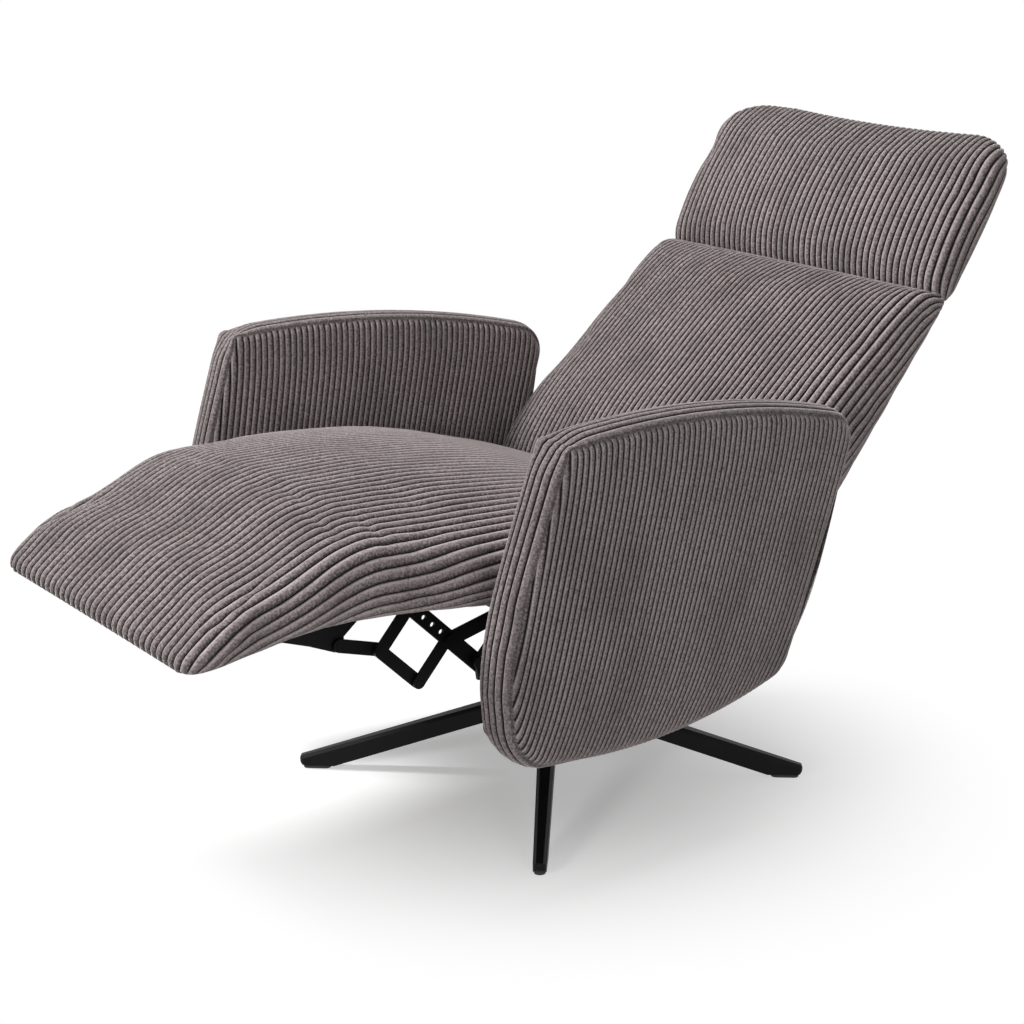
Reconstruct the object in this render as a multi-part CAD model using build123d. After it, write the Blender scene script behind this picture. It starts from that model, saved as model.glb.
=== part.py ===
from build123d import *
import math
import os

os.makedirs("parts", exist_ok=True)

# Driving dimensions in millimetres. The floor is z = 0, the swivel axis is Z and the sitter faces -Y.
BASE_YAW = 51.57
LEG_REACH = 331
FLANGE_R = 88
FLANGE_Z = (62, 70)
HUB_R = 44
HUB_TOP = 223
POST_R = 22
RUN = 0.06
RACE_IN = 26
RACE_OUT = 62
BALL_R = 4
BALL_RING_R = 48
BALL_COUNT = 24
PLATE_Z = (HUB_TOP + 16, HUB_TOP + 22)
TUBE_Z = (PLATE_Z[1], PLATE_Z[1] + 28)
SLEEVE_TOP = PLATE_Z[1] + 22
TUBE_DEPTH = 40
TUBE_WALL = 2.5
TUBE_FRONT_Y = -60
TUBE_REAR_Y = 60

# Arms: the front top corner of the outer seam, how far the arm toes out and leans out, and its thickness.
ARM_CORNER = (390, -259.4, 555)
ARM_TOE = 5.4
ARM_LEAN = 4.0
ARM_THICK = 60
ARM_CORE = (16, 44)

# Pivots in the side view, each as (y, z).
RECLINE = (140, 352)
CREASE_R = 59
FOOT_PIVOT = (-372, 347)
CRANK_FRONT = (-322, 333)
CRANK_SPAN = (52, -49)
CRANK_ARM = (-40, -46)
STRUT_FOOT = (TUBE_FRONT_Y, TUBE_Z[1] + 27)
STRUT_LEVER = 70

# Slopes of the back and headrest, and the headrest's pivot as a place in the back: along it and off its plane.
BACK_TILT = 51
HEAD_TILT = 59.1
NECK = (386, -36)

# The four upholstered groups' frames, and the plates of the footrest mechanism from the inside out.
tilt_cos = math.cos(math.radians(BACK_TILT))
tilt_sin = math.sin(math.radians(BACK_TILT))
HEAD_PIVOT = (
    RECLINE[0] + NECK[0] * tilt_cos - NECK[1] * tilt_sin,
    RECLINE[1] + NECK[0] * tilt_sin + NECK[1] * tilt_cos,
)
SEAT = Pos(0, 95, 335) * Rot(-2.9, 0, 0)
FOOT = Pos(0, -374, 356) * Rot(4.84, 0, 0)
BACK = Pos(0, *RECLINE) * Rot(BACK_TILT, 0, 0)
HEAD = Pos(0, *HEAD_PIVOT) * Rot(HEAD_TILT, 0, 0)
BRACKET_X = (150, 153)
DRAG_X = (154, 157)
COUPLER_X = (158, 161)
CRANK_X = (162, 165)
HANGER_X = (166, 170)
SIDE_X = (170, 175)
LINK_W = 16
RIVET_R = 4

CRANK_REAR = (CRANK_FRONT[0] + CRANK_SPAN[0], CRANK_FRONT[1] + CRANK_SPAN[1])
CRANK_FRONT_END = (CRANK_FRONT[0] + CRANK_ARM[0], CRANK_FRONT[1] + CRANK_ARM[1])
CRANK_REAR_END = (CRANK_REAR[0] + CRANK_ARM[0], CRANK_REAR[1] + CRANK_ARM[1])
BRACKET_END = (FOOT_PIVOT[0] + CRANK_ARM[0], FOOT_PIVOT[1] + CRANK_ARM[1])
STRUT_HEAD = (RECLINE[0], RECLINE[1] - STRUT_LEVER)


def save(name, *pieces):
    solids = [s for piece in pieces for s in piece.solids()]
    export_step(solids[0] if len(solids) == 1 else Compound(solids), f"parts/{name}.step")


def other_side(piece):
    return mirror(piece, about=Plane.YZ)


def save_pair(name, *pieces):
    save(name, *pieces, *[other_side(piece) for piece in pieces])


def slab(outline, x0, x1):
    return extrude(Plane.YZ.offset(x0) * outline, x1 - x0)


def rod_x(centre, r, x0, x1):
    return slab(Pos(*centre) * Circle(r), x0, x1)


def rod_z(x, y, r, z0, z1):
    return extrude(Pos(x, y, z0) * Circle(r), z1 - z0)


def block(x0, x1, y0, y1, z0, z1):
    return Pos((x0 + x1) / 2, (y0 + y1) / 2, (z0 + z1) / 2) * Box(x1 - x0, y1 - y0, z1 - z0)


def bar(p, q, width, layer, bore=0.0):
    mid = ((p[0] + q[0]) / 2, (p[1] + q[1]) / 2)
    turn = math.degrees(math.atan2(q[1] - p[1], q[0] - p[0]))
    body = slab(Pos(*mid) * Rot(0, 0, turn) * SlotCenterToCenter(math.dist(p, q), width), *layer)
    if bore:
        body -= rod_x(p, bore, layer[0] - 1, layer[1] + 1)
        body -= rod_x(q, bore, layer[0] - 1, layer[1] + 1)
    return body


def cushion_section(s, half, low, edge, crown, tuck):
    mid = (low + edge) / 2
    rim = half - tuck
    outline = [
        Line((-rim, low), (rim, low)),
        ThreePointArc((rim, low), (half, mid), (rim, edge)),
        ThreePointArc((rim, edge), (0, edge + crown), (-rim, edge)),
        ThreePointArc((-rim, edge), (-half, mid), (-rim, low)),
    ]
    return Plane.XZ.offset(-s) * make_face(outline)


def cushion(sections):
    return loft([cushion_section(*section) for section in sections])


# Base: a flanged hub, four tapered legs bolted under it, plastic glides and the swivel post.
hub = rod_z(0, 0, FLANGE_R, *FLANGE_Z) + rod_z(0, 0, HUB_R, FLANGE_Z[1], HUB_TOP)
hub -= rod_z(0, 0, POST_R + 0.05, 50, HUB_TOP + 10)
BOLT_RADII = (FLANGE_R - 31, FLANGE_R - 12)

LEG_TIP = (LEG_REACH - 9, 19)
LEG_ROOT = (40, 110)
LEG_HALF = (12.5, 8.4)
leg_side = make_face([
    Polyline(LEG_ROOT, (LEG_ROOT[0], FLANGE_Z[1]), (FLANGE_R, FLANGE_Z[1]), (285, 4), (LEG_TIP[0], 4)),
    ThreePointArc((LEG_TIP[0], 4), (LEG_REACH, 11), LEG_TIP),
    Line(LEG_TIP, LEG_ROOT),
])
leg_plan = make_face([
    Polyline((LEG_TIP[0], -LEG_HALF[1]), (30, -LEG_HALF[0]), (30, LEG_HALF[0]), (LEG_TIP[0], LEG_HALF[1])),
    ThreePointArc((LEG_TIP[0], LEG_HALF[1]), (LEG_REACH, 0), (LEG_TIP[0], -LEG_HALF[1])),
])
leg_fall = (LEG_ROOT[1] - LEG_TIP[1]) / (LEG_TIP[0] - LEG_ROOT[0])


def leg_section(r):
    half = LEG_HALF[0] + (LEG_HALF[1] - LEG_HALF[0]) * (r - 30) / (LEG_TIP[0] - 30)
    top = LEG_TIP[1] + (LEG_TIP[0] - r) * leg_fall
    flat = half - 4
    corners = Polyline((-half, 0), (half, 0), (half, top - 4), (flat, top), (-flat, top), (-half, top - 4), (-half, 0))
    return Plane.YZ.offset(r) * make_face(corners)


leg = loft([leg_section(30), leg_section(LEG_REACH + 9)], ruled=True)
leg = leg & extrude(Plane.XZ * leg_side, 30, both=True) & extrude(leg_plan, 140)
leg -= rod_z(0, 0, HUB_R + 0.2, 0, 150)
glide = extrude(Pos(LEG_REACH - 23, 0, 0) * SlotOverall(36, 14), 3.95)
glide += rod_z(LEG_REACH - 25, 0, 3, 3, 11)
leg -= rod_z(LEG_REACH - 25, 0, 3.1, 3, 11.5)
leg_bolt_set = []
for r in BOLT_RADII:
    leg -= rod_z(r, 0, 4.05, FLANGE_Z[0], FLANGE_Z[1] + 20)
    bolt_head = extrude(Pos(r, 0, FLANGE_Z[0] - 5.5) * RegularPolygon(6.5, 6), 5.5)
    leg_bolt_set.append(rod_z(r, 0, 4, FLANGE_Z[0], FLANGE_Z[1] + 19) + bolt_head)

LEG_NAMES = ("leg_rear_left", "leg_rear_right", "leg_front_right", "leg_front_left")
glides = []
leg_bolts = []
for k, name in enumerate(LEG_NAMES):
    turn = Rot(0, 0, BASE_YAW + 90 * k)
    save(name, turn * leg)
    glides.append(turn * glide)
    for r, bolt in zip(BOLT_RADII, leg_bolt_set):
        leg_bolts.append(turn * bolt)
        hub -= turn * rod_z(r, 0, 4.05, FLANGE_Z[0] - 8, FLANGE_Z[1] + 4)
save("base_hub", hub)
save("foot_glides", *glides)
save("leg_bolts", *leg_bolts)

groove = rod_z(0, 0, 30, SLEEVE_TOP + 0.3, SLEEVE_TOP + 5.3) - rod_z(0, 0, 19.8, SLEEVE_TOP, SLEEVE_TOP + 6)
save("swivel_post", rod_z(0, 0, POST_R, FLANGE_Z[0] + 2, SLEEVE_TOP + 11) - groove)
clip = rod_z(0, 0, 31, SLEEVE_TOP + 0.4, SLEEVE_TOP + 5.2) - rod_z(0, 0, 19.86, SLEEVE_TOP, SLEEVE_TOP + 6)
save("post_clip", clip - block(0, 40, -6, 6, SLEEVE_TOP - 1, SLEEVE_TOP + 7))

ball_path = Torus(BALL_RING_R, BALL_R + 0.05)
race = rod_z(0, 0, RACE_OUT, 0, 6) - rod_z(0, 0, RACE_IN, -1, 7)
save("lower_race", Pos(0, 0, HUB_TOP) * race - Pos(0, 0, HUB_TOP + 8) * ball_path)
save("upper_race", Pos(0, 0, HUB_TOP + 10) * race - Pos(0, 0, HUB_TOP + 8) * ball_path)
ball = Pos(BALL_RING_R, 0, HUB_TOP + 8) * Sphere(BALL_R)
save("bearing_balls", *[Rot(0, 0, 360 / BALL_COUNT * k) * ball for k in range(BALL_COUNT)])

# Chassis: swivel plate with its sleeve, two cross tubes that reach the arms, two side plates.
swivel_plate = block(-110, 110, TUBE_FRONT_Y - 25, TUBE_REAR_Y + 25, *PLATE_Z)
swivel_plate += rod_z(0, 0, 33, PLATE_Z[1], SLEEVE_TOP)
swivel_plate -= rod_z(0, 0, POST_R + RUN, PLATE_Z[0] - 5, SLEEVE_TOP + 5)

arm_u = (-math.sin(math.radians(ARM_TOE)), math.cos(math.radians(ARM_TOE)), 0)
arm_in = (
    -math.cos(math.radians(ARM_TOE)) * math.cos(math.radians(ARM_LEAN)),
    -math.sin(math.radians(ARM_TOE)) * math.cos(math.radians(ARM_LEAN)),
    math.sin(math.radians(ARM_LEAN)),
)
ARM = Plane(origin=ARM_CORNER, x_dir=arm_u, z_dir=arm_in)


def arm_slab(outline, t0, t1):
    return extrude(ARM.offset(t0) * outline, t1 - t0)


ARM_PLATE_T = (ARM_CORE[1], ARM_CORE[1] + 5)
beyond_plate = arm_slab(Pos(250, 300) * Rectangle(900, 900), -200, ARM_PLATE_T[1])
beyond_plates = beyond_plate + other_side(beyond_plate)


def cross_tube(y):
    tube = block(-330, 330, y - TUBE_DEPTH / 2, y + TUBE_DEPTH / 2, *TUBE_Z)
    tube -= block(
        -340, 340,
        y - TUBE_DEPTH / 2 + TUBE_WALL, y + TUBE_DEPTH / 2 - TUBE_WALL,
        TUBE_Z[0] + TUBE_WALL, TUBE_Z[1] - TUBE_WALL,
    )
    return tube - beyond_plates


front_tube = cross_tube(TUBE_FRONT_Y)
rear_tube = cross_tube(TUBE_REAR_Y)
strut_ear = slab(
    Pos(STRUT_FOOT[0], (TUBE_Z[1] + STRUT_FOOT[1]) / 2) * Rectangle(24, STRUT_FOOT[1] - TUBE_Z[1])
    + Pos(*STRUT_FOOT) * Circle(12), 9.8, 14.8,
)
front_tube += strut_ear + other_side(strut_ear)
front_tube += rod_x(STRUT_FOOT, 5, -16, 16)

plate_bolts = []
for x in (-85, 85):
    for y in (TUBE_FRONT_Y, TUBE_REAR_Y):
        swivel_plate -= rod_z(x, y, 4.1, PLATE_Z[0] - 1, PLATE_Z[1] + 1)
        hole = rod_z(x, y, 4.1, TUBE_Z[0] - 1, TUBE_Z[0] + 6)
        front_tube -= hole
        rear_tube -= hole
        head = extrude(Pos(x, y, PLATE_Z[0] - 5.5) * RegularPolygon(6.5, 6), 5.5)
        nut = extrude(Pos(x, y, TUBE_Z[0] + TUBE_WALL) * RegularPolygon(6.5, 6), 6)
        plate_bolts.append(rod_z(x, y, 4, PLATE_Z[0] - 2, TUBE_Z[0] + 12) + head + nut)
save("swivel_plate", swivel_plate)
save("front_cross_tube", front_tube)
save("rear_cross_tube", rear_tube)
save("plate_bolts", *plate_bolts)

LINK_TUBE = (-150, 300)
HANGER_FOOT = (-224, 241)
side_foot = TUBE_Z[0] - 9
side_outline = make_face(Polyline(
    (-100, side_foot), (HANGER_FOOT[0] - 10, HANGER_FOOT[1] - 13), (HANGER_FOOT[0] - 14, HANGER_FOOT[1] + 14),
    (-206, 290), (-205, 344), (78, 331), (120, 334), (162, 340), (150, 290), (100, side_foot), (-100, side_foot),
))
side_outline += Pos(*RECLINE) * Circle(22)
side_plate = slab(side_outline, *SIDE_X)
for y in (TUBE_FRONT_Y, TUBE_REAR_Y):
    half = TUBE_DEPTH / 2 + 0.2
    side_plate -= block(160, 180, y - half, y + half, TUBE_Z[0] - 0.2, TUBE_Z[1] + 0.2)
for y in (-80, 10):
    side_plate -= slab(Pos(y, 306) * SlotOverall(70, 30), 160, 180)
side_plate -= rod_x(RECLINE, 8 + RUN, 160, 180)

save("link_cross_tube", rod_x(LINK_TUBE, 9, -SIDE_X[0], SIDE_X[0]) - rod_x(LINK_TUBE, 7, -180, 180))

BRACE_END = (-194, 303)
hanger = bar(CRANK_FRONT, HANGER_FOOT, 20, HANGER_X) + bar(CRANK_REAR, BRACE_END, 18, HANGER_X)
hanger -= rod_x(CRANK_FRONT, RIVET_R + 0.05, 160, 180)
hanger -= rod_x(CRANK_REAR, RIVET_R + 0.05, 160, 180)


def along_hanger(share):
    return tuple(a + share * (b - a) for a, b in zip(CRANK_FRONT, HANGER_FOOT))


for share in (0.16, 0.28, 0.4):
    hanger -= rod_x(along_hanger(share), 3.2, 160, 180)
hanger_rivets = [
    rod_x(CRANK_FRONT, RIVET_R, 161.8, 170) + rod_x(CRANK_FRONT, 7, HANGER_X[1], 172.5),
    rod_x(CRANK_REAR, RIVET_R, 161.8, 170) + rod_x(CRANK_REAR, 7, HANGER_X[1], 172.5),
]
for spot in (along_hanger(0.9), HANGER_FOOT, BRACE_END):
    hanger -= rod_x(spot, RIVET_R + 0.05, 160, 180)
    side_plate -= rod_x(spot, RIVET_R + 0.05, 160, 180)
    shank = rod_x(spot, RIVET_R, HANGER_X[0], SIDE_X[1] + 2)
    hanger_rivets.append(shank + rod_x(spot, 7, SIDE_X[1], SIDE_X[1] + 2))
save_pair("side_plates", side_plate)
save_pair("hanger_rails", hanger)
save_pair("hanger_rivets", *hanger_rivets)

# Footrest linkage: two cranks, a coupler and a drag link on each side, joined by rivets.
BORE = RIVET_R + RUN
front_crank = bar(CRANK_FRONT, CRANK_FRONT_END, LINK_W, CRANK_X, BORE)
rear_crank = bar(CRANK_REAR, CRANK_REAR_END, LINK_W, CRANK_X, BORE)
coupler = bar(CRANK_FRONT_END, CRANK_REAR_END, LINK_W, COUPLER_X, BORE)
drag = bar(BRACKET_END, CRANK_FRONT_END, LINK_W, DRAG_X, BORE)
save_pair("front_cranks", front_crank)
save_pair("rear_cranks", rear_crank)
save_pair("coupler_links", coupler)
save_pair("drag_links", drag)

crank_rivet = rod_x(CRANK_FRONT_END, RIVET_R, 153, 165.3) + rod_x(CRANK_FRONT_END, 7, 151.4, 153.8)
coupler_rivet = rod_x(CRANK_REAR_END, RIVET_R, 157, 165.3) + rod_x(CRANK_REAR_END, 7, 155.4, 157.8)
bracket_rivet = rod_x(BRACKET_END, RIVET_R, 149, 157.3) + rod_x(BRACKET_END, 7, 147.4, BRACKET_X[0])
save_pair("front_crank_rivets", crank_rivet)
save_pair("rear_crank_rivets", coupler_rivet)

# Seat: a tilted frame of wooden rails with a front board, sinuous springs and the crowned cushion.
RAIL_T = 22
save_pair("seat_side_rails", SEAT * block(SIDE_X[1], 215, -330, -8, -RAIL_T, -0.2))
save("seat_rear_rail", SEAT * block(-SIDE_X[0], SIDE_X[0], -58, -18, -RAIL_T, -0.2))
front_board = block(-184, 184, -372, -330, -RAIL_T, -0.2) + block(-142, 142, -459, -372, -RAIL_T, -0.2)
save("seat_front_board", SEAT * front_board)

SPRING_R = 1.9
SPRING_END = -352
spring_points = [(0, -34)]
for k in range(10):
    side = 20 if k % 2 == 0 else -20
    y = -48 - 30 * k
    spring_points += [(side, y), (side, y - 20)]
spring_points += [(0, SPRING_END)]
spring_path = FilletPolyline(*spring_points, radius=9)
spring_end = Plane(origin=spring_path @ 0, z_dir=spring_path % 0) * Circle(SPRING_R)
spring = Pos(0, 0, SPRING_R + 0.1) * sweep(spring_end, path=spring_path)
save("seat_springs", *[SEAT * Pos(62 * k, 0, 0) * spring for k in (-2, -1, 0, 1, 2)])


def seat_low(y):
    return 339.6 + (95 - y) * math.tan(math.radians(2.9))


SEAT_SECTIONS = (
    (104, 268, 371, 10),
    (0, 281, 399, 15),
    (-110, 294, 424, 18),
    (-210, 303, 433, 22),
    (-300, 293, 438, 24),
    (-371, 268, 440, 22),
)
seat_pad = cushion([(y, half, seat_low(y), edge, crown, 16) for y, half, edge, crown in SEAT_SECTIONS])
seat_pad -= rod_x(RECLINE, CREASE_R, -320, 320)
save("seat_cushion", seat_pad)

# Footrest: a hinge at the seat board's edge, a plywood board, two brackets and the wedge cushion.
KNUCKLE_R = 6
seat_leaf = SEAT * block(72, 138, -461.5, -459, -RAIL_T, -1)
seat_leaf += rod_x(FOOT_PIVOT, KNUCKLE_R, 72, 128)
seat_leaf += slab(Pos(-367.5, 347) * Rectangle(5, 8), 72, 128)
seat_leaf -= rod_x(FOOT_PIVOT, 3.05, 0, 200)
save_pair("seat_hinge_leaves", seat_leaf)
foot_leaf = FOOT * block(-66, 66, -8.5, -3.5, -14, -0.5) + rod_x(FOOT_PIVOT, KNUCKLE_R, -70, 70)
foot_leaf -= rod_x(FOOT_PIVOT, 3 + RUN, -100, 100)
save("foot_hinge_leaf", foot_leaf)
save("foot_hinge_pin", rod_x(FOOT_PIVOT, 3, -128, 128))

FOOT_T = 12
save("foot_board", FOOT * block(-165, 165, -226, -8.5, -FOOT_T, -0.2))
bracket = FOOT * block(126, BRACKET_X[1], -165, -62, -FOOT_T - 3, -FOOT_T)
bracket += FOOT * block(*BRACKET_X, -165, -62, -FOOT_T - 16, -FOOT_T)
bracket += slab(make_face(Polyline(
    (-505, 334), (-492, 321), (-450, 307), (-416, 293), (-404, 297), (-404, 310), (-368, 340), (-376, 351),
    (-402, 336), (-416, 327), (-434, 332), (-448, 338), (-505, 334),
)), *BRACKET_X)
bracket += rod_x(BRACKET_END, LINK_W / 2, *BRACKET_X)
bracket -= FOOT * block(100, 200, -260, 0, -FOOT_T, 40)
bracket -= rod_x(BRACKET_END, RIVET_R + 0.05, 140, 160)
save_pair("foot_brackets", bracket)
save_pair("foot_bracket_rivets", bracket_rivet)

FOOT_SECTIONS = (
    (-374, 267, 356.2, 440, 22, 16),
    (-430, 256, 351.5, 443, 18, 16),
    (-500, 244, 345.5, 421, 14, 16),
    (-570, 235, 339.6, 397, 10, 14),
    (-615, 226, 335.8, 369, 7, 10),
    (-632, 218, 334.4, 356, 5, 7),
    (-640, 208, 336, 347, 3, 4),
)
save("foot_cushion", cushion(FOOT_SECTIONS) - FOOT * block(-300, 300, -300, 10, -60, 0.1))

# Arms: a slotted wooden core, upholstery all round it and a steel flange that bolts to the chassis tubes.
arm_outline = make_face([
    ThreePointArc((0, 0), (225, -1.5), (470, 43)),
    Line((470, 43), (375.5, 345)),
    ThreePointArc((375.5, 345), (165, 382), (-72, 350)),
    ThreePointArc((-72, 350), (-74, 268), (-64, 195)),
    ThreePointArc((-64, 195), (-33, 100), (0, 0)),
])
for corner, radius in (((470, 43), 38), ((375.5, 345), 45), ((-72, 350), 55), ((-64, 195), 300)):
    arm_outline = fillet(arm_outline.vertices().sort_by_distance(corner)[0], radius)
core_outline = offset(arm_outline, -22)
pocket_outline = offset(arm_outline, -21.7)
flange_outline = make_face(Polyline(
    (184, 326), (350, 326), (368, 300), (356, 236), (196, 236), (184, 300), (184, 326),
))
arm_core = arm_slab(core_outline, *ARM_CORE)
for spot in ((60, 90), (330, 100), (20, 260)):
    arm_core -= arm_slab(Pos(*spot) * Circle(48), 0, 100)
flange = arm_slab(flange_outline, *ARM_PLATE_T)
arm_pad = arm_slab(arm_outline, 0, ARM_THICK)
arm_faces = arm_pad.faces().sort_by(Axis(ARM_CORNER, arm_in))
arm_pad = fillet(arm_faces[0].edges() + arm_faces[-1].edges(), 12)
arm_pad -= arm_slab(pocket_outline, ARM_CORE[0] - 0.3, ARM_CORE[1] + 0.3)
arm_pad -= arm_slab(offset(flange_outline, 3), ARM_CORE[1], ARM_THICK + 20)
for y in (TUBE_FRONT_Y, TUBE_REAR_Y):
    half = TUBE_DEPTH / 2 + 3
    arm_pad -= block(200, 340, y - half, y + half, TUBE_Z[0] - 3, TUBE_Z[1] + 3) - beyond_plate
arm_bolts = []
for spot in ((212, 258), (340, 258), (248, 308), (284, 308)):
    hole = arm_slab(Pos(*spot) * Circle(4.05), ARM_CORE[1] - 20, ARM_CORE[1] + 12)
    arm_core -= hole
    flange -= hole
    shank = arm_slab(Pos(*spot) * Circle(4), ARM_CORE[1] - 19, ARM_PLATE_T[1] + 1)
    head = arm_slab(Pos(*spot) * RegularPolygon(6.5, 6), ARM_PLATE_T[1], ARM_PLATE_T[1] + 5.5)
    arm_bolts.append(shank + head)
save_pair("arm_cores", arm_core)
save_pair("arm_flanges", flange)
save("arm_upholstery_left", arm_pad)
save("arm_upholstery_right", other_side(arm_pad))
save_pair("arm_bolts", *arm_bolts)

# Backrest: torque tube with the strut lever, hinge plates, posts, rail, webbing, cushion and rear panel.
POST_X = (181, 205)
FRAME_N = (-52.7, -22)
torque_tube = rod_x(RECLINE, 14, -168.5, 168.5)
lever_mid = (RECLINE[0], (RECLINE[1] + STRUT_HEAD[1]) / 2)
lever = slab(Pos(*lever_mid) * Rectangle(22, STRUT_LEVER) + Pos(*STRUT_HEAD) * Circle(13), 10.2, 15.2)
torque_tube += lever + other_side(lever)
torque_tube -= rod_x(RECLINE, 8.05, -200, 200)
torque_tube += rod_x(STRUT_HEAD, 6, -17, 17)
save("torque_tube", torque_tube)
save_pair("back_pivot_pins", rod_x(RECLINE, 8, 120, 184) + rod_x(RECLINE, 13, POST_X[0], 186))

HINGE_X = (176, 181)
hinge_strip = make_face(Polyline((-6, -19), (40, -50), (112, -50), (112, -24), (33, -24), (14, 14), (-6, -19)))
hinge_plate = BACK * (rod_x((0, 0), 20, *HINGE_X) + slab(hinge_strip, *HINGE_X))
hinge_plate -= rod_x(RECLINE, 8.05, 160, 200)
post_left = BACK * block(*POST_X, 34, NECK[0] - 13, *FRAME_N)
save_pair("back_hinge_plates", hinge_plate)
save_pair("back_posts", post_left)

upper_rail = block(-POST_X[0], POST_X[0], NECK[0] - 56, NECK[0] - 14, FRAME_N[0], -28)
for x in (110, -114):
    upper_rail -= block(x - 0.3, x + 4.3, NECK[0] - 66, NECK[0] - 6, NECK[1] - 12.4, NECK[1] + 16)
save("back_upper_rail", BACK * upper_rail)
straps = [BACK * block(-204, 204, v - 25, v + 25, -21.8, -20.2) for v in (90, 155, 220, 285)]
save("back_webbing", *straps)
save("back_rear_panel", BACK * block(-205.5, 205.5, 30, NECK[0] - 13, -57.5, -53))

BACK_SECTIONS = (
    (-45, 226, -16, 14, 2, 8),
    (-28, 240, -36, 33, 4, 12),
    (2, 247, -53, 43, 5, 14),
    (60, 252, -57.5, 48, 10, 16),
    (180, 261, -57.5, 32, 16, 16),
    (276, 262, -57.5, 14, 18, 14),
    (NECK[0] - 41, 261, -57, 0, 15, 12),
    (NECK[0] + 6, 257, -52, -16, 6, 8),
)
HEAD_SLOPE = math.tan(math.radians(20))
BACK_SLOPE = math.tan(math.radians(19))
back_pad = cushion(BACK_SECTIONS)
top = NECK[0] - 1
above = make_face(Polyline(
    (top, -80), (top, -36), (top - 80 * BACK_SLOPE, 44), (top + 55, 44), (top + 55, -80), (top, -80),
))
back_pad -= slab(above, -300, 300)
back_pad -= block(-206, 206, 29.5, NECK[0] - 12, -70, -19.8)
for x0 in (165, -191):
    back_pad -= block(x0, x0 + 26, -80, 31, -80, 80)
for x0 in (106, -123):
    back_pad -= block(x0, x0 + 17, NECK[0] - 16, NECK[0] + 14, NECK[1] - 18, NECK[1] + 16)
back_pad = BACK * back_pad
back_pad -= rod_x(RECLINE, 15, -170, 170)
back_pad -= block(-21, 21, RECLINE[0] - 16, RECLINE[0] + 16, 200, RECLINE[1])
save("back_cushion", back_pad)

# Gas strut between the front cross tube and the lever: it pushes the back up.
strut_length = math.dist(STRUT_FOOT, STRUT_HEAD)
STRUT = Pos(0, *STRUT_FOOT) * Rot(
    math.degrees(math.atan2(STRUT_HEAD[1] - STRUT_FOOT[1], STRUT_HEAD[0] - STRUT_FOOT[0])), 0, 0
)


def rod_along(r, y0, y1):
    return extrude(Plane.XZ.offset(-y1) * Circle(r), y1 - y0)


TUBE_END = 112
cylinder = rod_along(8, 0, 20) + rod_along(11, 16, TUBE_END) + rod_x((0, 0), 12, -9, 9)
cylinder -= rod_along(5 + RUN, 30, TUBE_END + 10)
cylinder -= rod_x((0, 0), 5 + RUN, -20, 20)
save("strut_cylinder", STRUT * cylinder)
strut_rod = rod_along(5, 40, strut_length - 10) + rod_x((strut_length, 0), 14, -9, 9)
strut_rod -= rod_x((strut_length, 0), 8.4, -20, 20)
save("strut_rod", STRUT * strut_rod)

# Headrest: ratchet hinge arms on a board with a cushion in front and a panel behind.
lower_arm = BACK * bar(NECK, (NECK[0] - 62, NECK[1] - 4), 16, (110, 114))
lower_arm += rod_x(HEAD_PIVOT, 11, 110, 114)
lower_arm -= rod_x(HEAD_PIVOT, 5 + RUN, 100, 130)
save_pair("head_hinge_lower", lower_arm)
upper_arm = HEAD * bar((0, 0), (60, -12), 16, (115, 119)) + rod_x(HEAD_PIVOT, 11, 115, 119)
upper_arm -= rod_x(HEAD_PIVOT, 5.05, 100, 130)
save_pair("head_hinge_upper", upper_arm)
save_pair("head_hinge_pins", rod_x(HEAD_PIVOT, 5, 108.5, 121) + rod_x(HEAD_PIVOT, 8, 119, 121))
head_board = block(-215, 215, 16, 205, -20, -8.3)
for x in (115, -119):
    head_board -= block(x - 0.3, x + 4.3, 0, 72, -30, 0)
save("head_board", HEAD * head_board)
save("head_rear_panel", HEAD * block(-215, 215, 16, 205, -25.5, -20.1))

HEAD_SECTIONS = (
    (-4, 252, -24, 4, 3, 8),
    (20, 261, -26, 17, 8, 11),
    (80, 264, -26, 21, 12, 12),
    (140, 265, -26, 18, 12, 12),
    (188, 262, -26, 15, 8, 11),
    (212, 248, -24, 4, 5, 8),
    (226, 220, -18, -8, 2, 3),
)
head_pad = cushion(HEAD_SECTIONS)
below = make_face(Polyline((1, -60), (1, 0), (1 + 60 * HEAD_SLOPE, 60), (-40, 60), (-40, -60), (1, -60)))
head_pad -= slab(below, -300, 300)
head_pad -= block(-215.6, 215.6, 15.5, 205.5, -60, -8)
for x0 in (106, -123):
    head_pad -= block(x0, x0 + 17, -20, 76, -30, 13)
save("head_cushion", HEAD * head_pad)
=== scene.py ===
import math

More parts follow.
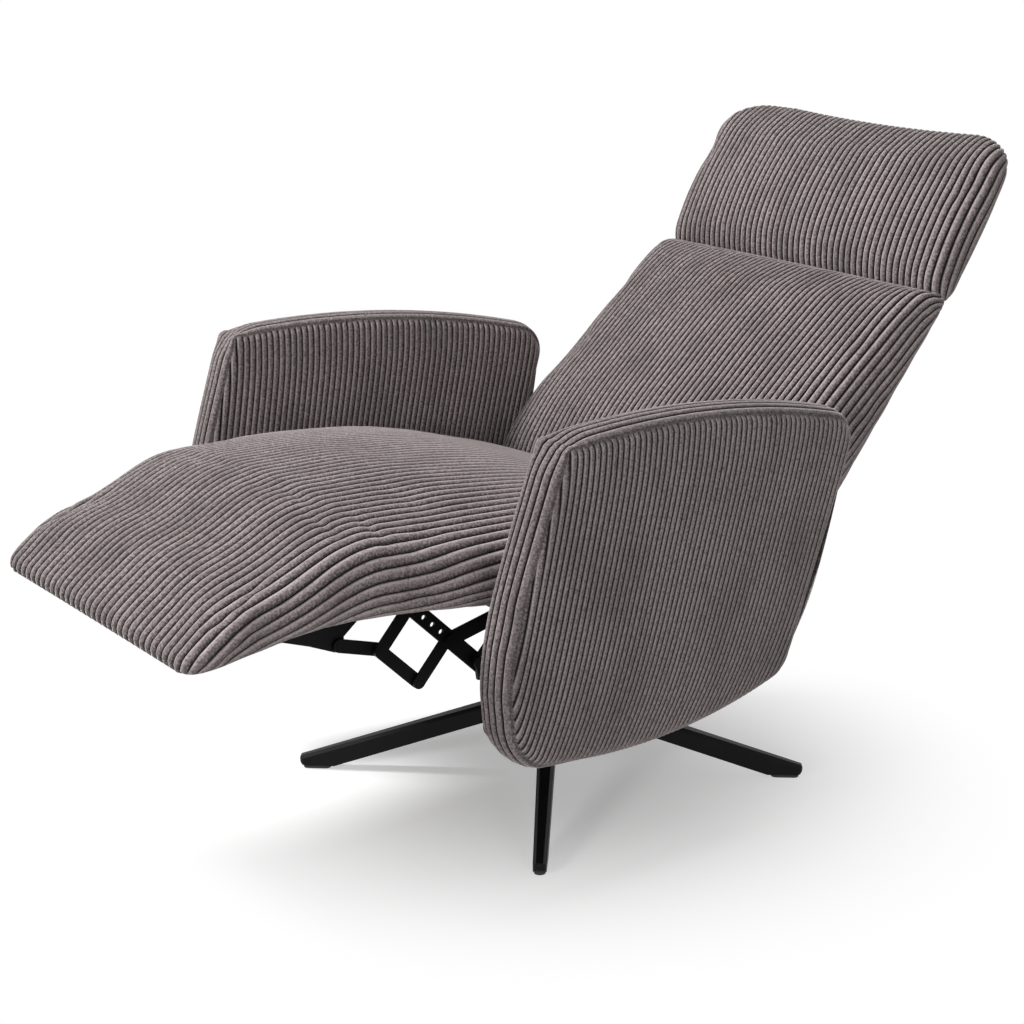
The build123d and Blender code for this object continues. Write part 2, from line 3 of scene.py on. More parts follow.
import bmesh
import bpy
import numpy as np
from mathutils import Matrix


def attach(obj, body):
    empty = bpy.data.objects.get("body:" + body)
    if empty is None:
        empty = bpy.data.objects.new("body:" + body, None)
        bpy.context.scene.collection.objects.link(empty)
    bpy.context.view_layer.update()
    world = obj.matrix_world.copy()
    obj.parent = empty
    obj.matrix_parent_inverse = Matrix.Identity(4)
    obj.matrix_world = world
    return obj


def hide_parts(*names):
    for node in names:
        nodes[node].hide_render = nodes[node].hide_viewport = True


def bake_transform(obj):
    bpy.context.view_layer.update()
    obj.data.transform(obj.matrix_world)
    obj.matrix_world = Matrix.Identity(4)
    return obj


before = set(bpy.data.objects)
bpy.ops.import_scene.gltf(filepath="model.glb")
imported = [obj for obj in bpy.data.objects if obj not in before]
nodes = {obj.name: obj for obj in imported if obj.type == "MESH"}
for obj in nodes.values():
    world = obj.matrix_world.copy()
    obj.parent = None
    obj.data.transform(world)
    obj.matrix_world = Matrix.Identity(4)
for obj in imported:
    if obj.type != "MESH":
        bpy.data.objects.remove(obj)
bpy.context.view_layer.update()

# Star base: four tapered steel legs bolted under a flanged hub, all in satin black powder coat,
# with moulded glides under the tips and a zinc plated post, races, balls and bolts.


class Socket:
    """One socket of a material, so that shader maths reads as plain expressions."""

    def __init__(self, tree, socket=None):
        self.tree = tree
        self.socket = socket

    def node(self, kind, settings, inputs, output=0):
        made = self.tree.nodes.new(kind)
        for name, value in settings.items():
            setattr(made, name, value)
        for name, value in inputs.items():
            if isinstance(value, Socket):
                self.tree.links.new(value.socket, made.inputs[name])
            else:
                made.inputs[name].default_value = value
        return Socket(self.tree, made.outputs[output])

    def maths(self, operation, first, second):
        return self.node("ShaderNodeMath", {"operation": operation}, {0: first, 1: second})

    def __add__(self, other):
        return self.maths("ADD", self, other)

    def __radd__(self, other):
        return self.maths("ADD", other, self)

    def __mul__(self, other):
        return self.maths("MULTIPLY", self, other)

    def __rmul__(self, other):
        return self.maths("MULTIPLY", other, self)


class Finish:
    """A material with one Principled shader: constants sit on its sockets, feed() links the rest."""

    def __init__(self, name, constants):
        self.material = bpy.data.materials.new(name)
        self.material.use_nodes = True
        tree = self.material.node_tree
        self.shader = next(n for n in tree.nodes if n.type == "BSDF_PRINCIPLED")
        self.start = Socket(tree)
        for name, value in constants.items():
            self.shader.inputs[name].default_value = value

    def feed(self, name, value):
        self.start.tree.links.new(value.socket, self.shader.inputs[name])

    def place(self):
        return self.start.node("ShaderNodeTexCoord", {}, {}, "Object")

    def attribute(self, name):
        return self.start.node("ShaderNodeAttribute", {"attribute_name": name}, {}, "Fac")

    def noise(self, place, scale, detail=2.0):
        return self.start.node(
            "ShaderNodeTexNoise", {}, {"Vector": place, "Scale": scale, "Detail": detail}, "Fac"
        )

    def stretch(self, place, factors):
        return self.start.node("ShaderNodeMapping", {}, {"Vector": place, "Scale": factors})

    def span(self, value, start, end):
        """0 where the value is at the start of its span or before, and 1 at the end or past it."""
        return self.start.node(
            "ShaderNodeMapRange", {}, {"Value": value, "From Min": start, "From Max": end}
        )

    def mix(self, share, first, second):
        return self.start.node(
            "ShaderNodeMix", {"data_type": "RGBA"}, {0: share, 6: first, 7: second}, 2
        )

    def bump(self, height, strength, distance):
        return self.start.node(
            "ShaderNodeBump", {}, {"Height": height, "Strength": strength, "Distance": distance}
        )


def dress(material, names):
    """Gives a material to CAD nodes."""
    for name in names:
        for slot in nodes[name].material_slots:
            slot.material = material


COAT_BLACK = (0.003, 0.003, 0.0032, 1)
COAT_HAZE = (0.006, 0.006, 0.0064, 1)
coat = Finish("satin_black_powder_coat", {"Metallic": 0.0, "Specular IOR Level": 0.12})
coat_place = coat.place()
coat_grain = coat.noise(coat_place, scale=1400.0, detail=1.0)
coat_cloud = coat.noise(coat_place, scale=22.0, detail=3.0)
coat.feed("Base Color", coat.mix(coat_cloud, COAT_BLACK, COAT_HAZE))
coat.feed("Roughness", coat_cloud * 0.12 + 0.36)
coat.feed("Normal", coat.bump(coat_grain, strength=0.12, distance=0.0004))
legs = [name for name in nodes if name.startswith("leg_") and name != "leg_bolts"]
dress(coat.material, legs + ["base_hub"])

ZINC_GREY = (0.42, 0.42, 0.41, 1)
ZINC_BRIGHT = (0.62, 0.62, 0.6, 1)
zinc = Finish("zinc_plated_steel", {"Metallic": 1.0})
zinc_place = zinc.place()
zinc_spangle = zinc.noise(zinc_place, scale=60.0, detail=4.0)
zinc_grain = zinc.noise(zinc_place, scale=700.0)
zinc.feed("Base Color", zinc.mix(zinc_spangle, ZINC_GREY, ZINC_BRIGHT))
zinc.feed("Roughness", zinc_spangle * 0.2 + 0.28)
zinc.feed("Normal", zinc.bump(zinc_grain, strength=0.1, distance=0.0005))
dress(zinc.material, [
    "leg_bolts", "swivel_post", "post_clip", "lower_race", "upper_race", "bearing_balls",
])

GLIDE_BLACK = (0.012, 0.012, 0.012, 1)
GLIDE_GREY = (0.03, 0.03, 0.03, 1)
glide = Finish("moulded_black_plastic", {"Specular IOR Level": 0.4})
glide_grain = glide.noise(glide.place(), scale=900.0)
glide.feed("Base Color", glide.mix(glide_grain, GLIDE_BLACK, GLIDE_GREY))
glide.feed("Roughness", glide_grain * 0.15 + 0.5)
glide.feed("Normal", glide.bump(glide_grain, strength=0.25, distance=0.0006))
dress(glide.material, ["foot_glides"])

# Chassis and footrest linkage: pressed and welded steel in the same black coat, pinned by rivets,
# with zinc plated tubes, hinges and bolts, the gas strut, and the wooden and sprung seat frame.
dress(coat.material, [
    "swivel_plate", "front_cross_tube", "rear_cross_tube", "side_plates", "hanger_rails",
    "hanger_rivets", "front_cranks", "rear_cranks", "coupler_links", "drag_links",
    "front_crank_rivets", "rear_crank_rivets", "foot_bracket_rivets", "foot_brackets",
    "arm_flanges", "torque_tube", "back_hinge_plates", "strut_cylinder",
])
dress(zinc.material, [
    "plate_bolts", "link_cross_tube", "seat_springs", "seat_hinge_leaves", "foot_hinge_leaf",
    "foot_hinge_pin", "arm_bolts", "back_pivot_pins", "strut_rod", "head_hinge_lower",
    "head_hinge_upper", "head_hinge_pins",
])

PLY_DARK = (0.42, 0.28, 0.16, 1)
PLY_PALE = (0.66, 0.5, 0.32, 1)
PLY_GLUE = (0.36, 0.24, 0.14, 1)
PLY_ALONG_GRAIN = (6.0, 90.0, 90.0)
ply = Finish("raw_plywood", {"Specular IOR Level": 0.3})
ply_place = ply.place()
ply_grain = ply.noise(ply.stretch(ply_place, PLY_ALONG_GRAIN), scale=3.0, detail=6.0)
ply_layers = ply.start.node(
    "ShaderNodeTexWave", {"bands_direction": "Z"},
    {"Vector": ply_place, "Scale": 110.0, "Distortion": 0.6, "Detail": 2.0}, "Fac",
)
ply_tone = ply.mix(ply_grain, PLY_DARK, PLY_PALE)
ply.feed("Base Color", ply.mix(ply_layers * 0.3, ply_tone, PLY_GLUE))
ply.feed("Roughness", ply_grain * 0.2 + 0.6)
ply.feed("Normal", ply.bump(ply_grain, strength=0.3, distance=0.001))
dress(ply.material, [
    "seat_side_rails", "seat_rear_rail", "seat_front_board", "foot_board", "arm_cores",
    "back_posts", "back_upper_rail", "head_board",
])

WEBBING_BLACK = (0.03, 0.03, 0.03, 1)
WEBBING_GREY = (0.11, 0.1, 0.1, 1)
webbing = Finish("elastic_webbing", {"Sheen Weight": 0.2, "Specular IOR Level": 0.2})
webbing_ribs = webbing.start.node(
    "ShaderNodeTexWave", {"bands_direction": "X"},
    {"Vector": webbing.place(), "Scale": 130.0, "Distortion": 0.4}, "Fac",
)
webbing.feed("Base Color", webbing.mix(webbing_ribs, WEBBING_BLACK, WEBBING_GREY))
webbing.feed("Roughness", webbing_ribs * 0.1 + 0.8)
webbing.feed("Normal", webbing.bump(webbing_ribs, strength=0.6, distance=0.001))
dress(webbing.material, ["back_webbing"])

# Seat and footrest pad: one wide-wale corduroy cover over foam, from the crease at the back, over
# the knee and down to the lip of the footrest, where it is turned under and stapled to the board.
# The covers are worked out in millimetres, as rows of points, before they become meshes.
HALF_COLUMNS = 121
TOP_POINTS = 240
SIDE_POINTS = 120
SECTION_POINTS = 401
LONGEST_ROUNDING = 180
LEAST_EDGE = 0.3
LEAST_CROWN = 0.05
LEAST_TUCK = 0.1
CLOTH_FRAMES = 20
CLOTH_COLUMNS = 41
ROWS_PER_CLOTH_ROW = 5
LEAST_CLOTH_ROWS = 6
HELD_ROWS = 14
WALE_COLUMNS = 8
WALE_END = 4.0
WELD = 0.00002
SLIVER = 0.00001


def through(stations, values, places):
    """A smooth curve through the values at the stations, read at other places."""
    stations = np.asarray(stations, float)
    values = np.asarray(values, float)
    places = np.asarray(places, float)
    slopes = np.gradient(values, stations, axis=0)
    i = np.clip(np.searchsorted(stations, places, side="right") - 1, 0, len(stations) - 2)
    gap = (stations[i + 1] - stations[i]).reshape((-1,) + (1,) * (values.ndim - 1))
    t = ((places - stations[i]) / (stations[i + 1] - stations[i])).reshape(gap.shape)
    return (
        (2 * t**3 - 3 * t**2 + 1) * values[i] + (t**3 - 2 * t**2 + t) * gap * slopes[i]
        + (3 * t**2 - 2 * t**3) * values[i + 1] + (t**3 - t**2) * gap * slopes[i + 1]
    )


def ramp(values, start, end):
    """0 where values are at the start or before it, 1 at the end or past it, and even between."""
    return np.clip((values - start) / (end - start), 0, 1)


def run_along(x, z):
    """How far each point of a line lies along it."""
    return np.concatenate([[0], np.cumsum(np.hypot(np.diff(x), np.diff(z)))])


def half_section(half, low, edge, crown, tuck, rounding):
    """Half a cross-section of a cushion, from the middle of its crown round its side to its lower
    edge, and how long it is."""
    rim = half - tuck
    top_x = np.linspace(0, rim, TOP_POINTS)
    top_z = edge + crown * (1 - (top_x / max(rim, 1e-6)) ** 2)
    side = np.linspace(1, -1, SIDE_POINTS)[1:]
    side_x = rim + tuck * (1 - side**2)
    side_z = (low + edge) / 2 + side * (edge - low) / 2
    x = np.concatenate([top_x, side_x])
    z = np.concatenate([top_z, side_z])
    run = run_along(x, z)
    even = np.linspace(0, run[-1], SECTION_POINTS)
    x = np.interp(even, run, x)
    z = np.interp(even, run, z)
    reach = min(int(2.5 * rounding / even[1]) + 1, LONGEST_ROUNDING)
    kernel = np.exp(-0.5 * (np.arange(-reach, reach + 1) * even[1] / rounding) ** 2)
    kernel /= kernel.sum()
    long_x = np.concatenate([-x[reach:0:-1], x, 2 * x[-1] - x[-2:-reach - 2:-1]])
    long_z = np.concatenate([z[reach:0:-1], z, 2 * z[-1] - z[-2:-reach - 2:-1]])
    x = np.convolve(long_x, kernel, mode="valid")
    z = np.convolve(long_z, kernel, mode="valid")
    x *= half / x.max()
    run = run_along(x, z)
    even = np.linspace(0, run[-1], HALF_COLUMNS)
    return np.interp(even, run, x), np.interp(even, run, z), run[-1]


def cover(stations, step, rounding):
    """A cushion's cover as rows of points, from stations of (along, half, low, edge, crown, tuck).
    Returns the rows and half the girth of each."""
    stations = np.asarray(stations, float)
    top = stations[:, 3] + stations[:, 4]
    run = np.hypot(np.diff(stations[:, 0]), np.diff(top)) + 0.5
    run = np.concatenate([[0], np.cumsum(run)])
    places = np.linspace(0, run[-1], int(run[-1] / step) + 1)
    rows, girths = [], []
    for along, half, low, edge, crown, tuck in through(run, stations, places):
        x, z, girth = half_section(
            half, low, max(edge, low + LEAST_EDGE), max(crown, LEAST_CROWN), max(tuck, LEAST_TUCK),
            rounding,
        )
        full_x = np.concatenate([-x[:0:-1], x])
        full_z = np.concatenate([z[:0:-1], z])
        rows.append(np.stack([full_x, np.full_like(full_x, along), full_z], -1))
        girths.append(girth)
    return np.array(rows), np.array(girths)


def net_faces(index):
    """Four-sided faces between the rows and columns of a table of point numbers."""
    sides = [index[:-1, :-1], index[1:, :-1], index[1:, 1:], index[:-1, 1:]]
    return np.stack(sides, -1).reshape(-1, 4)


def face_out(faces, corners, middle):
    """Faces, all turned over if they look at the middle."""
    corner = corners[faces]
    normal = np.cross(corner[:, 2] - corner[:, 0], corner[:, -1] - corner[:, 1])
    if (normal * (corner.mean(1) - middle)).sum() < 0:
        faces = faces[:, ::-1]
    return faces


def swell(points, pressure, most):
    """Blows a coarse net of a cover up as cloth held along its edges, and returns how far each
    point of the cover moves, in millimetres, at most by the given amount."""
    rows, cols = points.shape[:2]
    net_rows = max(rows // ROWS_PER_CLOTH_ROW, LEAST_CLOTH_ROWS)
    pick_r = np.unique(np.linspace(0, rows - 1, net_rows).astype(int))
    pick_c = np.unique(np.linspace(0, cols - 1, CLOTH_COLUMNS).astype(int))
    rest = points[np.ix_(pick_r, pick_c)].reshape(-1, 3) / 1000
    index = np.arange(len(rest)).reshape(len(pick_r), len(pick_c))
    quads = face_out(net_faces(index), rest, rest.mean(0))
    mesh = bpy.data.meshes.new("net")
    mesh.from_pydata(rest.tolist(), [], quads.tolist())
    net = bpy.data.objects.new("net", mesh)
    bpy.context.scene.collection.objects.link(net)
    seam = np.unique(np.concatenate([index[0], index[-1], index[:, 0], index[:, -1]]))
    net.vertex_groups.new(name="seams").add([int(i) for i in seam], 1.0, "REPLACE")
    cloth = net.modifiers.new("cloth", "CLOTH")
    cloth.settings.vertex_group_mass = "seams"
    cloth.settings.use_pressure = True
    cloth.settings.uniform_pressure_force = pressure
    cloth.settings.effector_weights.gravity = 0
    cloth.settings.quality = 6
    cloth.collision_settings.use_collision = False
    cloth.point_cache.frame_start = 1
    cloth.point_cache.frame_end = CLOTH_FRAMES
    for step in range(1, CLOTH_FRAMES + 1):
        bpy.context.scene.frame_set(step)
    made = net.evaluated_get(bpy.context.evaluated_depsgraph_get()).data
    now = np.empty(len(rest) * 3)
    made.vertices.foreach_get("co", now)
    move = (now.reshape(-1, 3) - rest) * 1000
    length = np.linalg.norm(move, axis=1, keepdims=True)
    move *= most * np.tanh(length / most) / np.maximum(length, 1e-9)
    bpy.data.objects.remove(net)
    bpy.data.meshes.remove(mesh)
    bpy.context.scene.frame_set(1)
    move = move.reshape(len(pick_r), len(pick_c), 3)
    move = through(pick_r, move, np.arange(rows))
    move = through(pick_c, move.swapaxes(0, 1), np.arange(cols)).swapaxes(0, 1)
    from_end = np.minimum(np.arange(rows), np.arange(rows)[::-1])
    return move * ramp(from_end, 0, HELD_ROWS)[:, None, None] ** 2


def outward(points, middle):
    """Unit normals of rows of points, turned away from the middle."""
    normal = np.cross(np.gradient(points, axis=0), np.gradient(points, axis=1))
    normal /= np.maximum(np.linalg.norm(normal, axis=-1, keepdims=True), 1e-9)
    if (normal * (points - middle)).sum() < 0:
        normal = -normal
    return normal


def across_wale(phase):
    """Where a place lies across its wale, 0 in the groove and 1 on the crest; phase counts wales."""
    return 1 - np.abs(2 * (phase - np.floor(phase)) - 1)


def painted_wale_shading(phase):
    """Painted shading of a wale at a place: how far it is from the groove, which sets its painted
    groove shade, and on which flank it lies, which sets its painted flank highlight or shade.
    """
    turn = 2 * np.pi * phase
    return np.stack([across_wale(phase), (np.sin(turn) + 0.6 * np.sin(2 * turn)) / 1.36], -1)


def wale(phase):
    """Height of a rounded wale, 0 in its groove and 1 on its crest."""
    return np.sqrt(np.maximum(1 - (1 - across_wale(phase)) ** 2, 0))


def wale_places(count, columns=WALE_COLUMNS):
    """Where a cover's columns stand, counted in wales, closer together beside the grooves."""
    part = 0.5 - 0.5 * np.cos(np.pi * np.arange(columns) / columns)
    return np.append((np.arange(count)[:, None] + part).ravel(), count)


def corduroy(points, girths, pitch, height, middle, fade=None):
    """Rows of points with the wales raised on them, at a true pitch from the middle line, and their
    painted groove shade and flank light. Fade gives the share of a wale's height that is left in each
    row."""
    normal = outward(points, middle)
    count = int(np.ceil(girths.max() / pitch)) + 1
    place = np.unique(np.concatenate([-wale_places(count), wale_places(count)])) * pitch
    half = (points.shape[1] - 1) // 2
    spot = np.clip(place[None, :] / girths[:, None], -1, 1) * half + half
    low = np.clip(np.floor(spot).astype(int), 0, points.shape[1] - 2)
    share = (spot - low)[..., None]
    row = np.arange(len(points))[:, None]
    base = points[row, low] * (1 - share) + points[row, low + 1] * share
    lift = normal[row, low] * (1 - share) + normal[row, low + 1] * share
    reach = np.clip(place[None, :], -girths[:, None], girths[:, None])
    edge = 1 - np.exp(-(girths[:, None] - np.abs(reach)) / WALE_END)
    raise_by = height * wale(reach / pitch) * edge
    if fade is not None:
        raise_by = raise_by * fade[:, None]
    return base + lift * raise_by[..., None], painted_wale_shading(reach / pitch)


def bridge(first, second):
    """Triangles between two rows of point numbers of different lengths that run the same way."""
    faces = []
    i = j = 0
    while i < len(first) - 1 or j < len(second) - 1:
        next_i = (i + 1) / (len(first) - 1)
        next_j = (j + 1) / (len(second) - 1)
        if j == len(second) - 1 or (i < len(first) - 1 and next_i <= next_j):
            faces.append((first[i], first[i + 1], second[j]))
            i += 1
        else:
            faces.append((first[i], second[j + 1], second[j]))
            j += 1
    return np.array(faces)


def sew(name, patches, bridges, materials):
    """One closed mesh from patches of (points in mm, painted groove shade and flank light, material
    number), welded where they meet. A bridge joins the named rows of two patches."""
    middle = np.concatenate([points.reshape(-1, 3) for points, _, _ in patches]).mean(0)
    corners, painted_shadings, faces, kinds, tables = [], [], [], [], []
    first = 0
    for points, painted_shading, kind in patches:
        rows, cols = points.shape[:2]
        index = np.arange(rows * cols).reshape(rows, cols)
        flat = points.reshape(-1, 3)
        quads = face_out(net_faces(index), flat, middle) + first
        tables.append(index + first)
        first += rows * cols
        corners.append(flat)
        painted_shadings.append(np.broadcast_to(painted_shading, (rows, cols, 2)).reshape(-1, 2))
        faces += quads.tolist()
        kinds += [kind] * len(quads)
    corners = np.concatenate(corners)
    for (a, row_a), (b, row_b), kind in bridges:
        made = face_out(bridge(tables[a][row_a], tables[b][row_b]), corners, middle)
        faces += made.tolist()
        kinds += [kind] * len(made)
    mesh = bpy.data.meshes.new(name)
    mesh.from_pydata((corners / 1000).tolist(), [], faces)
    painted_shadings = np.concatenate(painted_shadings)
    for column, label in enumerate(("wale", "flank")):
        values = mesh.attributes.new(label, "FLOAT", "POINT").data
        values.foreach_set("value", painted_shadings[:, column].copy())
    mesh.polygons.foreach_set("material_index", kinds)
    made = bmesh.new()
    made.from_mesh(mesh)
    bmesh.ops.remove_doubles(made, verts=made.verts, dist=WELD)
    bmesh.ops.dissolve_degenerate(made, edges=made.edges, dist=SLIVER)
    made.to_mesh(mesh)
    made.free()
    mesh.polygons.foreach_set("use_smooth", [True] * len(mesh.polygons))
    for material in materials:
        mesh.materials.append(material)
    piece = bpy.data.objects.new(name, mesh)
    bpy.context.scene.collection.objects.link(piece)
    return piece


def underside(points, inner, drop):
    """The turned-under edge and flat underside between the two lower edges of a cover."""
    left = points[:, 0]
    right = points[:, -1]
    turned = np.linspace(0, inner, 5)
    flat = np.linspace(inner, 1 - inner, 8)[1:-1]
    share = np.concatenate([turned, flat, 1 - turned[::-1]])[None, :, None]
    net = left[:, None] * (1 - share) + right[:, None] * share
    sag = np.minimum(1, np.minimum(share, 1 - share) / inner)
    net[..., 2:3] += drop[:, None, None] * (3 * sag**2 - 2 * sag**3)
    return net


CORD_GROOVE_SHADE = (0.003, 0.0024, 0.0024, 1)
CORD_SHADE = (0.02, 0.016, 0.016, 1)
CORD_ROOT = (0.04, 0.032, 0.032, 1)
CORD_CRUSHED = (0.07, 0.058, 0.058, 1)
CORD_TAUPE = (0.185, 0.157, 0.156, 1)
CORD_TIP = (0.5, 0.43, 0.43, 1)
CORD_FLANK_HIGHLIGHT = (0.66, 0.567, 0.567, 1)
CORD_SHEEN = (1.0, 0.92, 0.92, 1)
CLOUD_STRETCH = (1.7, 1.2, 0.6)
cord = Finish("taupe_wide_wale_corduroy", {
    "Sheen Weight": 1.0, "Sheen Roughness": 0.3, "Sheen Tint": CORD_SHEEN,
    "Specular IOR Level": 0.15,
})
cord_place = cord.place()
cord_across = cord.attribute("wale")
cord_flank = cord.attribute("flank")
cord_nap = cord.noise(cord_place, scale=380.0, detail=3.0)
cord_brush = cord.noise(cord_place, scale=130.0)
cord_cloud = cord.noise(cord.stretch(cord_place, CLOUD_STRETCH), scale=12.0, detail=4.0)
# Painted light: the flank value paints one flank of each wale paler, as a painted highlight, and the
# other darker, as painted shade, as if lit from one side.
cord_lit_flank = cord.span(cord_flank, 0.0, 1.0)
cord_shaded_flank = cord.span(cord_flank, 0.0, -1.0)
cord_light = cord.span(cord_nap, 0.46, 0.72)
cord_dark = cord.span(cord_nap, 0.46, 0.24)
cord_pressed = cord.span(cord_cloud, 0.42, 0.75)
# Painted shade: the grooves between the wales are painted near black, fading out up their flanks.
cord_raised = cord.span(cord_across, 0.12, 0.42)
cord_lit = cord.mix(cord_lit_flank * 0.62, CORD_TAUPE, CORD_FLANK_HIGHLIGHT)
cord_flank_shade = cord.mix(cord_shaded_flank * 0.7, cord_lit, CORD_SHADE)
cord_tips = cord.mix(cord_light * 0.55, cord_flank_shade, CORD_TIP)
cord_roots = cord.mix(cord_dark * 0.75, cord_tips, CORD_ROOT)
cord_pile = cord.mix(cord_pressed * 0.4, cord_roots, CORD_CRUSHED)
cord.feed("Base Color", cord.mix(cord_raised, CORD_GROOVE_SHADE, cord_pile))
cord.feed("Roughness", cord_nap * 0.15 + 0.8)
cord_relief = cord_nap * 0.6 + cord_brush * 0.5
cord.feed("Normal", cord.bump(cord_relief, strength=0.5, distance=0.0016))

LINING_BLACK = (0.012, 0.012, 0.012, 1)
LINING_GREY = (0.03, 0.029, 0.028, 1)
lining = Finish("black_dust_cloth", {"Specular IOR Level": 0.15})
lining_grain = lining.noise(lining.place(), scale=300.0, detail=4.0)
lining.feed("Base Color", lining.mix(lining_grain, LINING_BLACK, LINING_GREY))
lining.feed("Roughness", lining_grain * 0.1 + 0.85)
lining.feed("Normal", lining.bump(lining_grain, strength=0.4, distance=0.001))

SEAT_WALE = 13.4
SEAT_WALE_HEIGHT = 4.6
CREASE_FLOOR = (360, 400)
LIP_TILT = 0.014
LEAST_NAP = 0.12
FOOT_HINGE = (-374, 356)
FOOT_TILT = math.radians(4.84)
BOARD_THICK = 13
TURNED_UNDER = 0.14
pad_stations = [
    (70, 260, 340.8, 341.8, 0.5, 1), (79, 264, 340.5, 352, 4, 8), (82, 267, 340.4, 364, 8, 12),
    (76, 269, 340.6, 376, 10, 15), (50, 272, 341.9, 386, 12, 16), (0, 278, 344.4, 399, 15, 16),
    (-110, 290, 350, 424, 18, 16), (-210, 298, 355, 433, 22, 16), (-300, 290, 361, 438, 24, 16),
    (-371, 272, 363.5, 440, 22, 16), (-430, 261, 362, 442, 18, 16), (-500, 249, 357, 421, 14, 15),
    (-570, 241, 345, 397, 10, 13), (-612, 235, 338, 371, 7, 10), (-630, 230, 337, 357, 5, 7),
    (-640, 222, 337, 347, 2.5, 3.5), (-641, 218, 337, 340, 1, 1.5), (-637, 214, 336.6, 337, 0.1, 0.2),
]
# Creases over the knee, the sunk shoulders beside the arms, and the valley of the footrest, each
# as (across, along, half width, half length, depth).
pad_creases = [
    (95, -424, 60, 9, 3.0), (165, -440, 42, 7, 3.2), (205, -400, 38, 8, 2.6), (30, -436, 50, 10, 1.8),
    (-120, -428, 70, 10, 2.2), (150, -318, 60, 26, 2.2), (-60, -250, 90, 40, 2.5),
    (290, -290, 110, 140, 15.0), (-290, -300, 110, 140, 4.0), (-80, -536, 600, 45, 7.0),
    (-40, -520, 190, 45, 3.5),
]
pad, pad_girth = cover(pad_stations, step=5.0, rounding=13.0)
pad_middle = np.array([0, -260, 380])
pad = pad + swell(pad, pressure=4.0, most=6.0)
across = pad[..., 0]
ahead = pad[..., 1]
for x, y, wide, deep, size in pad_creases:
    dent = size * np.exp(-(((across - x) / wide) ** 2) - ((ahead - y) / deep) ** 2)
    pad[..., 2] -= dent * ramp(pad[..., 2], *CREASE_FLOOR)
pad[..., 2] -= LIP_TILT * across * ramp(ahead, -470, -600)
pad_along = pad[:, 0, 1]
worn = LEAST_NAP + (1 - LEAST_NAP) * ramp(pad_along, -20, -270)
pad_points, pad_painted_shading = corduroy(pad, pad_girth, SEAT_WALE, SEAT_WALE_HEIGHT, pad_middle, worn)
# The painted groove shade and flank light are weaker towards the rear, where the wales are worn low,
# and weaker still over a rubbed patch towards the front of the seat.
rubbed = ramp(pad_points[..., 0], -60, -220) * ramp(pad_points[..., 1], -330, -210)
pad_painted_shading[..., 0] = 1 - (1 - pad_painted_shading[..., 0]) * worn[:, None] ** 0.4 * (0.92 - 0.5 * rubbed)
pad_painted_shading[..., 1] *= worn[:, None] ** 0.5 * (1 - 0.6 * rubbed)
board_fall = ramp(pad_along, -374, -434) * ramp(pad_along, -640, -600)
board_level = FOOT_HINGE[1] + (pad_along - FOOT_HINGE[0]) * math.tan(FOOT_TILT) - BOARD_THICK
pad_drop = np.minimum(board_level - pad_points[:, 0, 2], 0) * board_fall
pad_under = underside(pad_points, TURNED_UNDER, pad_drop)
seat_pad = sew(
    "seat_and_footrest_pad",
    [(pad_points, pad_painted_shading, 0), (pad_under, np.zeros(1), 1)],
    [((0, 0), (1, 0), 1), ((0, -1), (1, -1), 1)],
    [cord.material, lining.material],
)
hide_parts("seat_cushion", "foot_cushion")
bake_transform(seat_pad)

# Arms: a wooden core in foam, with a flat corduroy panel on each side whose wales lean back, sewn
# along the top and front to a band with lengthwise wales; the panels roll under along the rear and
# the bottom. An arm is laid out flat, along and down from its front top corner, then set upright.
ARM_WALE = 8.4
ARM_WALE_HEIGHT = 3.6
ARM_WALES = 72
WALES_AHEAD = 12
PANEL_ROWS = 52
ARM_THICK = 60.0
BAND_WALES = 5
BAND_WALE_HEIGHT = 4.2
BAND_CROWN = 6.5
BAND_EDGE = 60
SEAM_GROOVE_SHADE_LIMIT = 0.3
PLAIN_PAINTED_SHADING = (0.6, 0)
ROLL = 14.0
SEAM_DIP = 1.5
SEAM_WIDTH = 4.0
SEAM_FALL = 2.4
SEAM_REACH = 30
ROLL_FALL = 2.0
ROLL_REACH = 45
CORNER_SIZE = 40
SLOPE_STEP = 0.7
arm_toe = math.radians(5.4)
arm_lean = math.radians(4.0)
arm_corner = np.array([390.0, -259.4, 553.0])
arm_u = np.array([-math.sin(arm_toe), math.cos(arm_toe), 0])
arm_in = np.array([
    -math.cos(arm_toe) * math.cos(arm_lean), -math.sin(arm_toe) * math.cos(arm_lean),
    math.sin(arm_lean),
])
arm_down = np.cross(arm_in, arm_u)
arm_down *= -np.sign(arm_down[2])


def arc(a, b, c, count):
    """Points on the circle through a, b and c, from a up to c."""
    (ax, ay), (bx, by), (cx, cy) = a, b, c
    d = 2 * (ax * (by - cy) + bx * (cy - ay) + cx * (ay - by))
    aa, bb, cc = ax * ax + ay * ay, bx * bx + by * by, cx * cx + cy * cy
    ox = (aa * (by - cy) + bb * (cy - ay) + cc * (ay - by)) / d
    oy = (aa * (cx - bx) + bb * (ax - cx) + cc * (bx - ax)) / d
    turn = [math.atan2(y - oy, x - ox) for x, y in (a, b, c)]
    if (turn[1] - turn[0]) % (2 * math.pi) < (turn[2] - turn[0]) % (2 * math.pi):
        sweep = (turn[2] - turn[0]) % (2 * math.pi)
    else:
        sweep = -((turn[0] - turn[2]) % (2 * math.pi))
    angle = turn[0] + sweep * np.arange(count) / count
    radius = math.hypot(ax - ox, ay - oy)
    return np.stack([ox + radius * np.cos(angle), oy + radius * np.sin(angle)], -1)


